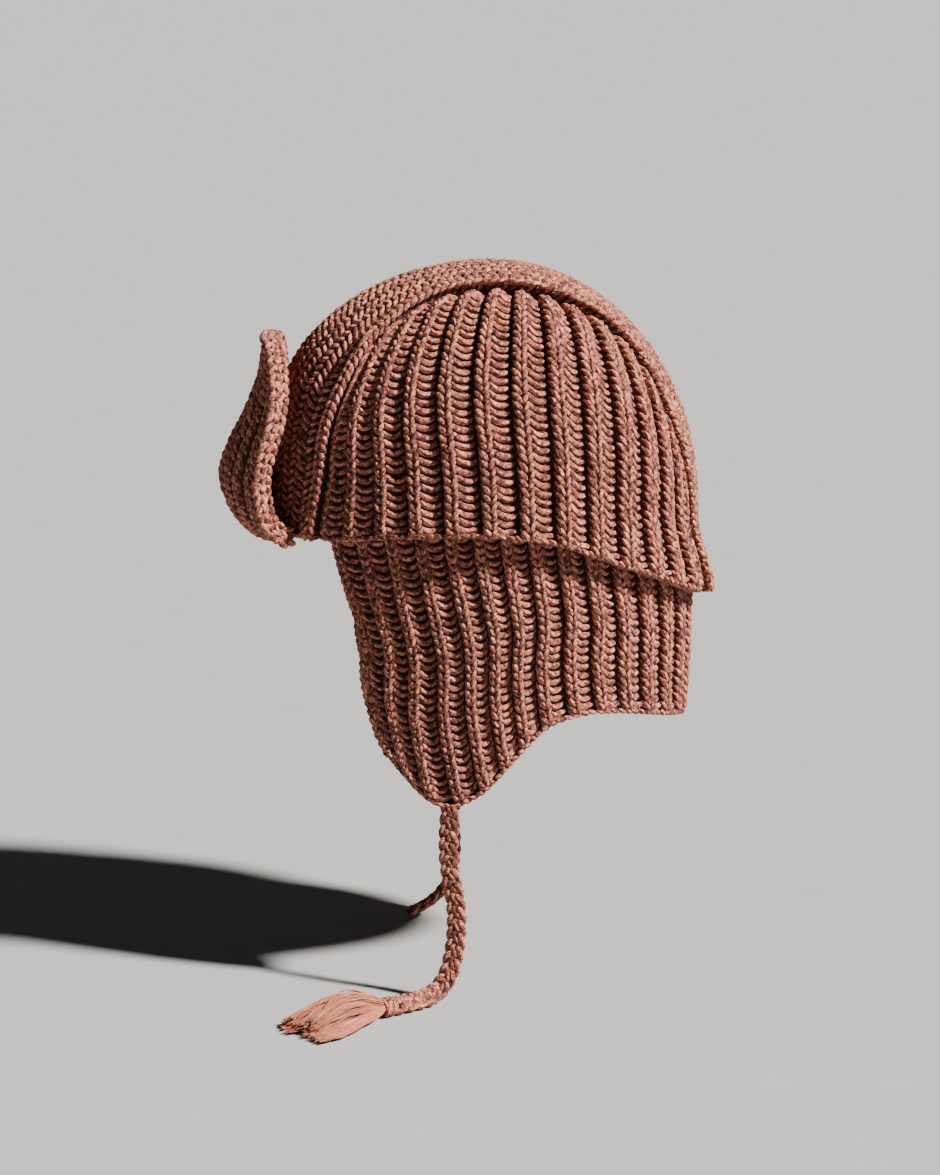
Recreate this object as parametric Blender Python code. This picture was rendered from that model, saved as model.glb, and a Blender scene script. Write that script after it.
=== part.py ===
"""Knitted aviator hat: a ribbed crown in three panels, a turned-up peak, an ear-flap band
that runs round the neck, and two plaited ties, the left one with a tassel.

Metres, +Z up. The front of the hat faces -Y and the wearer's left is +X. The origin is the
seat: the middle of the crown's inner top, where the hat rests on what wears it.
"""
import math

import bpy
import numpy as np
from mathutils import Vector

# Crown
CROWN_FRONT_LENGTH = 0.1155  # middle to front, over the knit
CROWN_BACK_LENGTH = 0.1065  # middle to back, over the knit
CROWN_HALF_BREADTH = 0.088
CROWN_DEPTH = 0.120  # seat down to the rim over the ear
BACK_DIP = 0.0425  # how much lower the rim is at the back
RIM_FLARE = 0.008  # how far the rim stands out at the back
FLARE_HEIGHT = 0.040  # the flare starts this far above the rim
CROWN_WALL = 0.009  # crest of a rib to the inner face
SIDE_RIBS = 13
SIDE_RIB_DEPTH = 0.0055
PANEL_HALF_WIDTH = 0.040
PANEL_RIBS = 10
PANEL_RIB_DEPTH = 0.0022
SEAM_GAP = 0.0007
SIDE_RIB_FADE = ([0, 0.08, 0.93, 1], [0.5, 1, 1, 0.35])  # down a rib: share of its depth

# Ear-flap band
BAND_WALL = 0.008
BAND_RIBS = 30
BAND_RIB_DEPTH = 0.0045
BAND_RIB_FADE = ([0, 0.12, 0.95, 1], [0, 1, 1, 0.4])
BAND_LAP = 0.008  # how far the band reaches up inside the rim
BAND_CLEARANCE = 0.0011
FLAP_DROP = 0.141  # rim over the ear down to the flap's tip
FLAP_DRAW_IN = 0.008  # how far the flap's tip is drawn in towards the cheek

# Turned-up peak
PEAK_HEIGHT = 0.0996
PEAK_REACH = 0.033  # forward of the crown
PEAK_HALF_WIDTH = 0.055
PEAK_BOW = 0.026  # how far its sides lie behind its middle
PEAK_WALL = 0.009
PEAK_RIBS = 8
PEAK_RIB_DEPTH = 0.003
PEAK_RIB_FADE = ([0, 0.2, 0.9, 1], [0, 1, 1, 0.3])
PEAK_CLEARANCE = 0.0004  # its root is sewn to the crown's face, along the front rim
PEAK_SEAT_DROP = 0.003  # how far the root stands below the rim

# Ties and tassel
TIE_DIAMETER = 0.010
TIE_CLEARANCE = 0.0003
TASSEL_LENGTH = 0.056
TASSEL_SPREAD = 0.034
TASSEL_THICKNESS = 0.022
TASSEL_REST = 0.0042  # its underside lies this far below the tie's middle
KNOT_FORM = (0.98, 1.1, 1.0)  # shares of the tie's diameter

# Facets
RIB_STEPS = 3  # columns of faces a rib
PANEL_STEPS = 2
SIDE_ROWS = np.interp(np.arange(11), [0, 6, 10], [0, 0.62, 1])  # shares of the way down
PANEL_ROWS = np.interp(np.arange(23), [0, 3, 17, 22], [0, 0.09, 0.85, 1])
BAND_ROWS = 7
LOCK_SIDES = 6
KNOT_SEGMENTS = 10
KNOT_RINGS = 6
LINE_SAMPLES = 200  # points of a line before it is spread evenly

CORE_LEVEL = -2 / 3 * CROWN_DEPTH  # the crown's forms are found outwards from this height
SLOPE_STEP = 0.0004  # the face's slope is measured over this distance

# Crown form by direction: where it is widest, as a share of the depth, its roundness,
# and its share of the flare
FRONT, SIDE, BACK = range(3)
CROWN_FORM = {
    # direction: (widest, roundness, flare)
    FRONT: (0.71, 2.08, 0.25),
    SIDE: (0.79, 2.20, 0.45),
    BACK: (0.96, 2.00, 1.00),
}

# Rim: degrees round from the front, and the share of the dip at the back
RIM_LINE = np.array([
    (0, 0.19),
    (37, 0.12),
    (57, 0.03),
    (89, 0.00),
    (108, 0.10),
    (121, 0.29),
    (141, 0.59),
    (163, 0.91),
    (180, 1.00),
])

# Seam beside the centre panel: share of the way from the front rim to the back rim,
# and the share of the half width
SEAM_LINE = np.array([
    (0.00, 1.34),
    (0.13, 1.41),
    (0.20, 1.38),
    (0.26, 1.26),
    (0.34, 1.06),
    (0.41, 0.92),
    (0.50, 0.90),
    (0.57, 0.86),
    (0.64, 0.80),
    (0.71, 0.84),
    (0.79, 0.92),
    (0.88, 0.87),
    (0.95, 0.74),
    (1.00, 0.66),
])
SEAM_CORNERS = (0.26, 0.90)  # between these the side panels' ribs start from the seam

# Flap's front edge: degrees round from the front, and the share of the flap's drop
FLAP_FRONT = np.array([
    (28.0, -0.02),
    (34.5, 0.216),
    (39.5, 0.387),
    (39.5, 0.564),
    (43.5, 0.745),
    (47.0, 0.816),
])

# Lower edge, from the foot of that front edge to the middle of the back
LOWER_EDGE = np.array([
    (47.0, 0.816),
    (53.0, 0.890),
    (61.0, 0.972),
    (69.5, 1.000),
    (78.0, 0.972),
    (85.8, 0.918),
    (96.0, 0.812),
    (103.0, 0.740),
    (110.0, 0.690),
    (124.0, 0.660),
    (140.0, 0.677),
    (160.0, 0.723),
    (180.0, 0.764),
])
FLAP_TIP = 3  # the row of the lower edge that is the flap's tip

# Peak, root to free edge: shares of its reach, height, half width and bow
PEAK_SECTIONS = np.array([
    (0.00, 0.000, 0.80, 0.55),
    (0.06, 0.000, 0.83, 0.56),
    (0.24, 0.004, 0.90, 0.60),
    (0.53, 0.105, 0.97, 0.60),
    (0.71, 0.250, 1.00, 0.71),
    (0.71, 0.356, 1.00, 0.70),
    (0.56, 0.489, 0.98, 0.60),
    (0.33, 0.638, 0.92, 0.48),
    (0.14, 0.793, 0.80, 0.31),
    (0.06, 0.915, 0.62, 0.17),
    (0.03, 1.000, 0.40, 0.08),
])

# Ties: the routes of their middle lines from below the flaps' tips, in metres
TIE_LIE_LEVEL = -0.3565
LEFT_TIE_ROUTE = [
    (0.0690, -0.0265, -0.277),
    (0.0700, -0.0263, -0.290),
    (0.0720, -0.0245, -0.302),
    (0.0730, -0.0228, -0.314),
    (0.0740, -0.0228, -0.326),
    (0.0750, -0.0240, -0.336),
    (0.0765, -0.0265, -0.346),
    (0.0790, -0.0310, -0.3535),
    (0.0850, -0.0375, TIE_LIE_LEVEL),
    (0.0925, -0.0460, TIE_LIE_LEVEL),
    (0.0985, -0.0550, TIE_LIE_LEVEL),
]
RIGHT_TIE_ROUTE = [
    (-0.0720, -0.0245, -0.273),
    (-0.0785, -0.0210, -0.287),
    (-0.0825, -0.0180, -0.301),
    (-0.0835, -0.0160, -0.315),
    (-0.0820, -0.0160, -0.328),
    (-0.0790, -0.0190, -0.3395),
    (-0.0755, -0.0250, -0.348),
    (-0.0725, -0.0330, -0.3535),
    (-0.0700, -0.0410, TIE_LIE_LEVEL),
]
TIE_POINTS = 40
TIE_BEVEL_RESOLUTION = 2

# Tassel locks: shares of the spread to the side and of the thickness upwards, at their ends,
# and of the length
TASSEL_LOCKS = [
    (-0.48, 0.00, 0.86),
    (-0.28, 0.02, 1.00),
    (-0.07, 0.00, 0.95),
    (0.14, 0.02, 1.00),
    (0.34, 0.00, 0.90),
    (-0.32, 0.38, 0.95),
    (-0.06, 0.42, 0.98),
    (0.22, 0.38, 0.90),
    (-0.04, 0.74, 0.88),
]

# A lock: shares of its length and of its spread, and its radius there
LOCK_SECTIONS = [
    (0.04, 0.00, 0.0012),
    (0.30, 0.35, 0.0029),
    (0.65, 0.75, 0.0041),
    (0.92, 0.97, 0.0038),
    (1.00, 1.00, 0.0024),
]

# Color of the yarn, and each piece's share of it
WOOL = (0.42, 0.20, 0.15)
SHADES = {"crown_center_panel": 0.9, "earflap_band": 0.95, "visor": 1.05, "tassel_left": 1.15}


def smooth_read(table, at, column=1):
    """Read a column of a table with a smooth curve through its rows."""
    x, y = table[:, 0], table[:, column]
    slope = np.gradient(y, x)
    at = np.clip(at, x[0], x[-1])
    row = np.clip(np.searchsorted(x, at) - 1, 0, len(x) - 2)
    step = x[row + 1] - x[row]
    t = (at - x[row]) / step
    rise = y[row] * (1 + 2 * t) * (1 - t) ** 2 + y[row + 1] * (3 - 2 * t) * t ** 2
    return rise + step * (slope[row] * t * (1 - t) ** 2 - slope[row + 1] * t ** 2 * (1 - t))


def smooth_path(points, count):
    """Points at even distances along a smooth curve through the given ones."""
    points = np.asarray(points, float)
    fine = []
    padded = np.vstack([2 * points[0] - points[1], points, 2 * points[-1] - points[-2]])
    for before, start, end, after in zip(padded, padded[1:], padded[2:], padded[3:]):
        for t in np.linspace(0, 1, 12, endpoint=False):
            fine.append(0.5 * (2 * start + (end - before) * t
                               + (2 * before - 5 * start + 4 * end - after) * t ** 2
                               + (3 * start - before - 3 * end + after) * t ** 3))
    fine = np.vstack([fine, points[-1]])
    run = np.concatenate([[0], np.cumsum(np.linalg.norm(np.diff(fine, axis=0), axis=1))])
    wanted = np.linspace(0, run[-1], count)
    return np.stack([np.interp(wanted, run, fine[:, axis]) for axis in range(3)], axis=-1)


def by_direction(angle, column):
    """One column of the crown's form table, blended by the angle round from the front."""
    forward = np.clip(np.cos(angle), 0, 1) ** 2
    backward = np.clip(-np.cos(angle), 0, 1) ** 2
    sideways = np.sin(angle) ** 2
    return (forward * CROWN_FORM[FRONT][column] + sideways * CROWN_FORM[SIDE][column]
            + backward * CROWN_FORM[BACK][column])


def rim_level(angle):
    """Height of the crown's rim at an angle round from the front."""
    return -(CROWN_DEPTH + BACK_DIP * smooth_read(RIM_LINE, np.degrees(angle)))


def wall_radius(angle, level):
    """Radius of the crown's outer face low down, where it is upright or flared."""
    length = np.where(np.cos(angle) > 0, CROWN_FRONT_LENGTH, CROWN_BACK_LENGTH)
    plan = 1 / np.hypot(np.cos(angle) / length, np.sin(angle) / CROWN_HALF_BREADTH)
    low = np.clip(1 - (level - rim_level(angle)) / FLARE_HEIGHT, 0, 1)
    return plan + RIM_FLARE * by_direction(angle, 2) * low ** 2 * (3 - 2 * low)


def crown_field(points):
    """Zero on the crown's outer face, below zero inside it and above zero outside it."""
    x, y, z = np.moveaxis(points, -1, 0)
    angle = np.arctan2(np.abs(x), -y)
    widest = -CROWN_DEPTH * by_direction(angle, 0)
    roundness = by_direction(angle, 1)
    rise = np.clip((z - widest) / (CROWN_WALL - widest), 0, None)
    return (np.hypot(x, y) / wall_radius(angle, z)) ** roundness + rise ** roundness - 1


def reach_crown(starts, directions):
    """Where straight lines from inside the crown meet its outer face."""
    near = np.zeros(directions.shape[:-1])
    far = near + 2 * CROWN_FRONT_LENGTH + CROWN_DEPTH
    for _ in range(40):
        middle = (near + far) / 2
        outside = crown_field(starts + directions * middle[..., None]) > 0
        far = np.where(outside, middle, far)
        near = np.where(outside, near, middle)
    return starts + directions * near[..., None]


def crown_normals(points):
    """Directions straight out of the crown's face."""
    slopes = []
    for axis in np.eye(3) * SLOPE_STEP:
        slopes.append(crown_field(points + axis) - crown_field(points - axis))
    slopes = np.stack(slopes, axis=-1)
    return slopes / np.linalg.norm(slopes, axis=-1, keepdims=True)


def rim_points(angle):
    """Points of the crown's outer face at its rim."""
    level = rim_level(angle)
    radius = wall_radius(angle, level)
    return np.stack([radius * np.sin(angle), -radius * np.cos(angle), level], axis=-1)


def rim_turn(offset, back):
    """Angle over the crown, seen from the side, of the rim's point at a sideways offset."""
    angles = np.radians(np.linspace(90, 180, 181) if back else np.linspace(90, 0, 181))
    points = rim_points(angles)
    points = points[np.argsort(points[:, 0])]
    turns = np.arctan2(points[:, 2] - CORE_LEVEL, -points[:, 1])
    turns = np.where(turns < -math.pi / 2, turns + 2 * math.pi, turns)
    return np.interp(np.abs(offset), points[:, 0], turns)


def panel_points(across, along, extra=0.0):
    """Points of the crown's face, laid out as the centre panel: across it, and front to back."""
    offset = across * (PANEL_HALF_WIDTH * smooth_read(SEAM_LINE, along) + extra)
    turn = rim_turn(offset, False) * (1 - along) + rim_turn(offset, True) * along
    zero = np.zeros_like(offset)
    starts = np.stack([offset, zero, zero + CORE_LEVEL], axis=-1)
    directions = np.stack([zero, -np.cos(turn), np.sin(turn)], axis=-1)
    return reach_crown(starts, directions)


def even_spread(points, count):
    """Shares along a line of points that put count of them at even distances."""
    run = np.concatenate([[0], np.cumsum(np.linalg.norm(np.diff(points, axis=0), axis=1))])
    return np.interp(np.linspace(0, run[-1], count), run, np.linspace(0, 1, len(points)))


def filled(top, bottom, front, back, rows):
    """Fill a four-sided patch from its edges: rows run from top to bottom."""
    columns = np.linspace(0, 1, len(top))[None, :, None]
    rows = rows[:, None, None]
    between_rows = (1 - rows) * top[None] + rows * bottom[None]
    between_columns = (1 - columns) * front[:, None] + columns * back[:, None]
    corners = ((1 - rows) * ((1 - columns) * top[0] + columns * top[-1])
               + rows * ((1 - columns) * bottom[0] + columns * bottom[-1]))
    return between_rows + between_columns - corners


def rib_relief(ribs, steps, depth):
    """Depth below the crests, column by column, for ribs with round crests and deep valleys."""
    share = np.arange(ribs * steps + 1) / steps % 1
    return depth * (1 - np.sin(math.pi * share) ** 0.5)


def grid_normals(grid):
    """Directions straight out of a grid of points."""
    down = np.gradient(grid, axis=0)
    along = np.gradient(grid, axis=1)
    normals = np.cross(down, along)
    return normals / np.linalg.norm(normals, axis=-1, keepdims=True)


def finish(piece):
    """Give a piece its wool, in the hat's dusty terracotta, and put it in the hat's collection."""
    material = bpy.data.materials.new(piece.name + "_wool")
    material.use_nodes = True
    shader = material.node_tree.nodes["Principled BSDF"]
    shade = SHADES.get(piece.name, 1.0)
    shader.inputs["Base Color"].default_value = [*(channel * shade for channel in WOOL), 1]
    shader.inputs["Roughness"].default_value = 0.9
    shader.inputs["Metallic"].default_value = 0.0
    piece.data.materials.clear()
    piece.data.materials.append(material)
    bpy.data.collections["knitted_aviator_hat"].objects.link(piece)


def closed_wall(name, outer, inner):
    """Close an outer and an inner grid of points into one solid wall."""
    rows, columns = outer.shape[:2]
    index = np.arange(rows * columns).reshape(rows, columns)
    low = index[:-1, :-1].ravel()
    faces = []
    for corner in low:
        square = [corner, corner + columns, corner + columns + 1, corner + 1]
        faces.append(square)
        faces.append([vertex + rows * columns for vertex in reversed(square)])
    border = [*index[0, :], *index[1:, -1], *index[-1, -2::-1], *index[-2:0:-1, 0]]
    for here, there in zip(border, border[1:] + border[:1]):
        faces.append([here, there, there + rows * columns, here + rows * columns])
    mesh = bpy.data.meshes.new(name)
    mesh.from_pydata([*map(tuple, outer.reshape(-1, 3)), *map(tuple, inner.reshape(-1, 3))], [],
                     [[int(vertex) for vertex in face] for face in faces])
    mesh.validate()
    mesh.shade_smooth()
    return bpy.data.objects.new(name, mesh)


def mirrored(grid):
    """The same grid on the other side of the hat."""
    return (grid * np.array([-1, 1, 1]))[:, ::-1]


def ribbed_crown_wall(name, face, relief, fade):
    """A wall of the crown: ribs outside, and an even face inside."""
    normals = crown_normals(face)
    outer = face - normals * (relief[None, :] * fade[:, None])[..., None]
    return closed_wall(name, outer, face - normals * CROWN_WALL)


def side_panel_face():
    """The left side panel's face: ribs run down from the seam to the rim."""
    columns = SIDE_RIBS * RIB_STEPS + 1
    first, last = SEAM_CORNERS
    seam = panel_points(np.ones(LINE_SAMPLES), np.linspace(first, last, LINE_SAMPLES), SEAM_GAP)
    top_share = even_spread(seam[:, 1:2], columns)  # evenly from front to back, not along the seam
    top = panel_points(np.ones(columns), first + (last - first) * top_share, SEAM_GAP)
    edge = np.ones(len(SIDE_ROWS))
    front = panel_points(edge, first * (1 - SIDE_ROWS), SEAM_GAP)
    back = panel_points(edge, last + (1 - last) * SIDE_ROWS, SEAM_GAP)
    ends = [math.atan2(point[0], -point[1]) for point in (front[-1], back[-1])]
    rim_share = even_spread(rim_points(np.linspace(*ends, LINE_SAMPLES)), columns)
    bottom = rim_points(ends[0] + (ends[1] - ends[0]) * rim_share)
    front[-1], back[-1] = bottom[0], bottom[-1]
    grid = filled(top, bottom, front, back, SIDE_ROWS)
    start = np.array([0, 0, CORE_LEVEL])
    directions = grid - start
    directions /= np.linalg.norm(directions, axis=-1, keepdims=True)
    face = reach_crown(np.broadcast_to(start, grid.shape), directions)
    for side in (np.s_[0, :], np.s_[-1, :], np.s_[:, 0], np.s_[:, -1]):
        face[side] = grid[side]
    return face


def make_crown():
    """The crown's two side panels and its centre panel."""
    face = side_panel_face()
    relief = rib_relief(SIDE_RIBS, RIB_STEPS, SIDE_RIB_DEPTH)
    fade = np.interp(np.linspace(0, 1, len(face)), *SIDE_RIB_FADE)
    finish(ribbed_crown_wall("crown_side_left", face, relief, fade))
    finish(ribbed_crown_wall("crown_side_right", mirrored(face), relief[::-1], fade))

    across = np.linspace(1, -1, PANEL_RIBS * PANEL_STEPS + 1)
    face = panel_points(*np.meshgrid(across, PANEL_ROWS))
    relief = rib_relief(PANEL_RIBS, PANEL_STEPS, PANEL_RIB_DEPTH)
    finish(ribbed_crown_wall("crown_center_panel", face, relief, np.ones(len(face))))


def band_points(angle, level, inset=0.0):
    """Points of the ear-flap band's outer face, which starts inside the crown's rim."""
    rim = rim_level(angle)
    radius = wall_radius(angle, np.maximum(level, rim)) - CROWN_WALL - BAND_CLEARANCE - inset
    drop = np.clip((rim - level) / FLAP_DROP, 0, 1)
    radius = radius - FLAP_DRAW_IN * drop ** 1.5
    return np.stack([radius * np.sin(angle), -radius * np.cos(angle), level], axis=-1)


def flap_level(share):
    """Height of a place that the tables give as a share of the flap's drop."""
    return -(CROWN_DEPTH + share * FLAP_DROP)


def band_face():
    """Angles and heights of the left half of the band, from its front edge to the back."""
    columns = BAND_RIBS // 2 * RIB_STEPS + 1
    run = np.linspace(0, 1, LINE_SAMPLES)
    edge_run = np.linspace(0, 1, len(FLAP_FRONT))
    lower_run = np.linspace(0, 1, len(LOWER_EDGE))
    front_table = np.column_stack([edge_run, FLAP_FRONT])
    lower_table = np.column_stack([lower_run, LOWER_EDGE])

    def line(table, share):
        angle = np.radians(smooth_read(table, share, 1))
        return np.stack([angle, flap_level(smooth_read(table, share, 2))], axis=-1)

    lower_share = even_spread(band_points(*line(lower_table, run).T), columns)
    bottom = line(lower_table, lower_share)
    front_share = even_spread(band_points(*line(front_table, run).T), BAND_ROWS)
    front = line(front_table, front_share)
    front[0, 1] = rim_level(front[0, 0]) + BAND_LAP
    top_angle = np.linspace(front[0, 0], math.pi, columns)
    top = np.stack([top_angle, rim_level(top_angle) + BAND_LAP], axis=-1)
    back_level = np.linspace(top[-1, 1], bottom[-1, 1], BAND_ROWS)
    back = np.stack([np.full(BAND_ROWS, math.pi), back_level], axis=-1)
    return filled(top, bottom, front, back, np.linspace(0, 1, BAND_ROWS))


def make_band():
    """The ear flaps and the neck band, knitted in one."""
    angle, level = np.moveaxis(band_face(), -1, 0)
    relief = rib_relief(BAND_RIBS // 2, RIB_STEPS, BAND_RIB_DEPTH)
    fade = np.interp(np.linspace(0, 1, len(angle)), *BAND_RIB_FADE)
    outer = band_points(angle, level, relief[None, :] * fade[:, None])
    inner = band_points(angle, level, BAND_WALL)
    outer = np.concatenate([outer, mirrored(outer)[:, 1:]], axis=1)
    inner = np.concatenate([inner, mirrored(inner)[:, 1:]], axis=1)
    finish(closed_wall("earflap_band", outer, inner))


def make_peak():
    """The turned-up peak: a thick ribbed tongue, sewn along the front rim and folded up."""
    across = np.linspace(1, -1, PEAK_RIBS * RIB_STEPS + 1)[None, :]
    reach, height, width, bow = (column[:, None] for column in PEAK_SECTIONS.T)
    x = across * width * PEAK_HALF_WIDTH
    front = wall_radius(0.0, rim_level(0.0)) + PEAK_CLEARANCE
    y = -(front + reach * PEAK_REACH) + bow * PEAK_BOW * across ** 2
    root = rim_level(np.arctan2(np.abs(x[0]), -y[0])) - PEAK_SEAT_DROP
    z = root[None, :] + height * PEAK_HEIGHT
    face = np.stack([x, y, z], axis=-1)
    inward = -grid_normals(face)
    relief = rib_relief(PEAK_RIBS, RIB_STEPS, PEAK_RIB_DEPTH)
    fade = np.interp(np.linspace(0, 1, len(face)), *PEAK_RIB_FADE)
    outer = face + inward * (relief[None, :] * fade[:, None])[..., None]
    finish(closed_wall("visor", outer, face + inward * PEAK_WALL))


def flap_tip(side):
    """The middle of the wall at a flap's tip, where its tie hangs."""
    degrees, share = LOWER_EDGE[FLAP_TIP]
    tip = band_points(np.radians(degrees), flap_level(share), BAND_WALL / 2)
    return tip * np.array([side, 1, 1])


def make_tie(name, side, route):
    """A plaited tie as a round cord, from the flap's tip to its tassel."""
    start = flap_tip(side) - np.array([0, 0, TIE_CLEARANCE])
    path = smooth_path([start, *route], TIE_POINTS)
    path[1, :2] = path[0, :2]
    curve = bpy.data.curves.new(name, "CURVE")
    curve.dimensions = "3D"
    curve.bevel_depth = TIE_DIAMETER / 2
    curve.bevel_resolution = TIE_BEVEL_RESOLUTION
    curve.use_fill_caps = True
    spline = curve.splines.new("POLY")
    spline.points.add(len(path) - 1)
    for point, place in zip(spline.points, path):
        point.co = (*place, 1)
    finish(bpy.data.objects.new(name, curve))
    return path


def lock(name, side, lift, length):
    """One lock of a tassel: a tapered strand that swells and ends bluntly, along +X."""
    turns = (np.arange(LOCK_SIDES) + 0.5) / LOCK_SIDES * 2 * math.pi
    round_form = np.stack([0 * turns, np.cos(turns), np.sin(turns)], axis=-1)
    rings = []
    for run, spread, radius in LOCK_SECTIONS:
        middle = np.array([run * length * TASSEL_LENGTH, side * TASSEL_SPREAD * spread,
                           (lift * TASSEL_THICKNESS + radius - TASSEL_REST) * spread])
        rings.append(middle + round_form * radius)
    last = (len(rings) - 1) * LOCK_SIDES
    faces = [list(range(LOCK_SIDES))[::-1], [last + turn for turn in range(LOCK_SIDES)]]
    for start in range(0, last, LOCK_SIDES):
        for turn in range(LOCK_SIDES):
            here, after = start + turn, start + (turn + 1) % LOCK_SIDES
            faces.append([here, after, after + LOCK_SIDES, here + LOCK_SIDES])
    mesh = bpy.data.meshes.new(name)
    mesh.from_pydata([tuple(point) for point in np.vstack(rings)], [], faces)
    piece = bpy.data.objects.new(name, mesh)
    bpy.context.scene.collection.objects.link(piece)
    return piece


def make_tassel(name, end, direction):
    """A tassel: locks of cut yarn fused to the knot that ends the tie."""
    bpy.ops.mesh.primitive_uv_sphere_add(segments=KNOT_SEGMENTS, ring_count=KNOT_RINGS,
                                         radius=TIE_DIAMETER / 2)
    head = bpy.context.object
    head.name = name
    head.data.name = name
    head.rotation_euler = (0, math.pi / 2, 0)
    head.scale = KNOT_FORM
    bpy.ops.object.transform_apply(location=False, rotation=True, scale=True)
    head.users_collection[0].objects.unlink(head)
    finish(head)
    for number, (sideways, lift, length) in enumerate(TASSEL_LOCKS):
        strand = lock(f"{name}_lock_{number}", sideways, lift, length)
        union = head.modifiers.new(strand.name, "BOOLEAN")
        union.operation = "UNION"
        union.object = strand
        bpy.context.view_layer.objects.active = head
        bpy.ops.object.modifier_apply(modifier=union.name)
        bpy.data.objects.remove(strand)
    heading = math.atan2(direction[1], direction[0])
    head.rotation_euler = (0, 0, heading)
    out = TIE_DIAMETER / 2 + TIE_CLEARANCE
    head.location = Vector(end) + Vector((math.cos(heading), math.sin(heading), 0)) * out


def make_ties():
    """The right tie, which ends plainly, and the left one with its tassel."""
    make_tie("tie_right", -1, RIGHT_TIE_ROUTE)
    path = make_tie("tie_left", 1, LEFT_TIE_ROUTE)
    make_tassel("tassel_left", path[-1], path[-1] - path[-2])


def main():
    for thing in list(bpy.data.objects):
        bpy.data.objects.remove(thing)
    collection = bpy.data.collections.new("knitted_aviator_hat")
    bpy.context.scene.collection.children.link(collection)
    make_crown()
    make_band()
    make_peak()
    make_ties()


main()
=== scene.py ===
# %% [markdown]
# # A knitted aviator hat, stitch by stitch
#
# The hat is chunky rib knit in a marled terracotta wool: a crown in three panels, a
# turned-up peak, ear flaps joined by a neck band, and two plaited ties, one with a tassel.
# The solid model gives every piece its place and size. This script dresses it: each wall is
# replaced by rows of modelled yarn, because at this thickness the eye reads single stitches,
# and no bump on a smooth wall gives their deep valleys.

import math

import bpy
import numpy as np
from mathutils import Matrix, Vector


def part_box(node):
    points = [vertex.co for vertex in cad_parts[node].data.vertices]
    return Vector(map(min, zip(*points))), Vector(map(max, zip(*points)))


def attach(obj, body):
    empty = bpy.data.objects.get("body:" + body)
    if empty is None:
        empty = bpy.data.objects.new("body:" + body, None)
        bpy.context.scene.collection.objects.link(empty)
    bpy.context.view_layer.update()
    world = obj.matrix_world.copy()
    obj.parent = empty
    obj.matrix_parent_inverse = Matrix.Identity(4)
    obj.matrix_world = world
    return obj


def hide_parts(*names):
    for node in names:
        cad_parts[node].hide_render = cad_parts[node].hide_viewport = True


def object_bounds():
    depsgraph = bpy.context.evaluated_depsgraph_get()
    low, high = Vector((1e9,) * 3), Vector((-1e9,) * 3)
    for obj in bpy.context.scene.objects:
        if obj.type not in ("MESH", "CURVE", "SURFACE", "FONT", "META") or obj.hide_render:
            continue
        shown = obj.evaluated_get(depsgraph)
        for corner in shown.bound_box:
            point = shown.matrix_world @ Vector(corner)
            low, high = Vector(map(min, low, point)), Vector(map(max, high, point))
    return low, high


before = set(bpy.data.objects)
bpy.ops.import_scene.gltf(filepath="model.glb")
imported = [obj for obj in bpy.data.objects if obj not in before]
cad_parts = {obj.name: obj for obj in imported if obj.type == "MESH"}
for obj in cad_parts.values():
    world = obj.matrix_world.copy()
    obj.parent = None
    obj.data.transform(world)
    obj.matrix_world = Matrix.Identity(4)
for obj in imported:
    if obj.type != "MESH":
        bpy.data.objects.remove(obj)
cad_box = [[float(value) for value in corner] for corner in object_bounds()]
rng = np.random.default_rng(11)
print("model box in metres:", cad_box)

# %% [markdown]
# ## The camera
#
# The photograph looks at the wearer's left side, a little from above. A long lens two metres
# away keeps the flap and the peak in their true proportions. The picture is 940 by 1175
# pixels, so its height takes the sensor's 36 mm.

# %% Camera
CAMERA_AZIMUTH = math.radians(87)
CAMERA_HEIGHT_ANGLE = math.radians(11.4)
CAMERA_DISTANCE = 2.0
CAMERA_TARGET = Vector((0.0, -0.012, -0.162))
FRAME_HEIGHT = 1175 * 0.52e-3  # metres that the picture's height spans at the target

toward_camera = Vector((
    math.sin(CAMERA_AZIMUTH) * math.cos(CAMERA_HEIGHT_ANGLE),
    -math.cos(CAMERA_AZIMUTH) * math.cos(CAMERA_HEIGHT_ANGLE),
    math.sin(CAMERA_HEIGHT_ANGLE),
))
camera_data = bpy.data.cameras.new("photo_camera")
camera_data.sensor_width = 36
camera_data.lens = 36 * CAMERA_DISTANCE / FRAME_HEIGHT
camera = bpy.data.objects.new("photo_camera", camera_data)
camera.location = CAMERA_TARGET + toward_camera * CAMERA_DISTANCE
camera.rotation_euler = toward_camera.to_track_quat("Z", "Y").to_euler()
bpy.context.scene.collection.objects.link(camera)
bpy.context.scene.camera = camera
print("lens:", round(camera_data.lens, 1), "mm")

# %% [markdown]
# ## Yarn as tubes
#
# A stitch is a short bent piece of yarn. Thousands of them are made at once: an array holds
# the middle line of each, and every line grows the same ring of points round it. The yarn's
# ends are thinner than its belly, as where a real stitch dives under the next one. Each mesh
# carries a UV map that runs along the yarn and round it, which the wool's twist follows.


# %% Tubes from middle lines
def unit(vectors):
    """Vectors of length one."""
    return vectors / np.maximum(np.linalg.norm(vectors, axis=-1, keepdims=True), 1e-12)


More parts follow.
